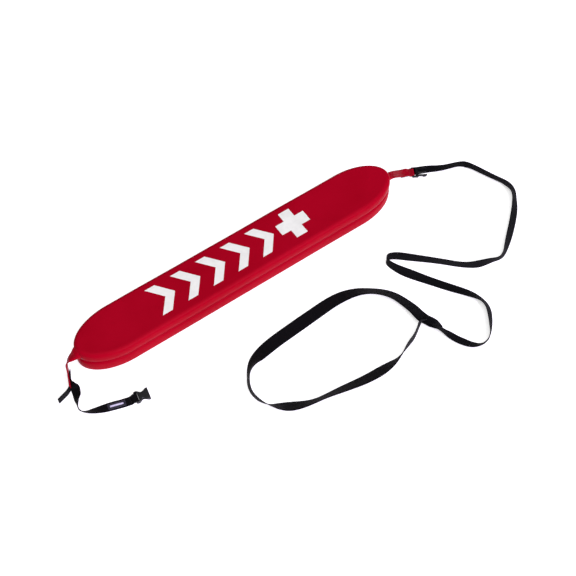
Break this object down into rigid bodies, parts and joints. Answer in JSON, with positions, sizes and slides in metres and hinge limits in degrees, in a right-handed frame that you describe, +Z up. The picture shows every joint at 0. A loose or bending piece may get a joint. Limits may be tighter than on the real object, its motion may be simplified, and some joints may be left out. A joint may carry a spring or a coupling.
{
  "type": "rescue tube",
  "caption": "Long soft rescue float with rounded ends, webbing tabs, side release buckle halves, a tow strap and a wide shoulder loop.",
  "frame": {"origin": "centre of the flat underside of the tube, on the surface that it rests on", "axes": "+X along the tube to the tow strap end, +Z up from the underside through the printed face, +Y across"},
  "size_m": [1.4079, 0.6401, 0.0793],
  "materials": {
    "vinyl": "satin",
    "foam": "matte",
    "core_web": "matte",
    "ink": "satin",
    "coated_webbing": "satin",
    "black_webbing": "matte",
    "thread": "matte",
    "label": "satin",
    "label_stripe": "satin",
    "acetal": "satin"
  },
  "bodies": {
    "tube": {"foam_bottom_slab": "foam", "foam_top_slab": "foam", "core_webbing": "core_web", "vinyl_skin": "vinyl", "printed_chevrons": "ink", "printed_cross": "ink", "tow_tab_webbing": "coated_webbing", "tow_eye_stitching": "thread", "clip_tab_webbing": "coated_webbing", "clip_tab_tail": "black_webbing", "clip_strap_sewn_end": "black_webbing", "clip_strap": "black_webbing", "clip_strap_eye": "black_webbing", "clip_eye_stitching": "thread", "strap_label": "label", "label_stripe": "label_stripe", "tow_strap_sewn_end": "black_webbing", "tow_strap": "black_webbing", "shoulder_loop": "black_webbing", "loop_junction": "black_webbing", "junction_stitching": "thread"},
    "buckle_plug": {"buckle_plug_frame": "acetal"},
    "latch_arm_left": {"buckle_latch_arm_left": "acetal"},
    "latch_arm_right": {"buckle_latch_arm_right": "acetal"},
    "socket": {"buckle_socket": "acetal"}
  },
  "joints": [
    {"name": "plug_swing", "type": "hinge", "parent": "tube", "child": "buckle_plug", "pos_m": [0.594, -0.009, 0.0064], "axis": [-0.5, -0.866, 0], "range_deg": [0, 80]},
    {"name": "latch_left_squeeze", "type": "hinge", "parent": "buckle_plug", "child": "latch_arm_left", "pos_m": [0.61294, -0.007, 0.0064], "axis": [0, 0, -1], "range_deg": [0, 7], "stiffness_Nm_per_rad": 0.6},
    {"name": "latch_right_squeeze", "type": "hinge", "parent": "buckle_plug", "child": "latch_arm_right", "pos_m": [0.60174, -0.0264, 0.0064], "axis": [0, 0, 1], "range_deg": [0, 7], "stiffness_Nm_per_rad": 0.6},
    {"name": "socket_swing", "type": "hinge", "parent": "tube", "child": "socket", "pos_m": [-0.432, -0.172, 0.0064], "axis": [-0.2079, -0.9781, 0], "range_deg": [0, 80]}
  ]
}
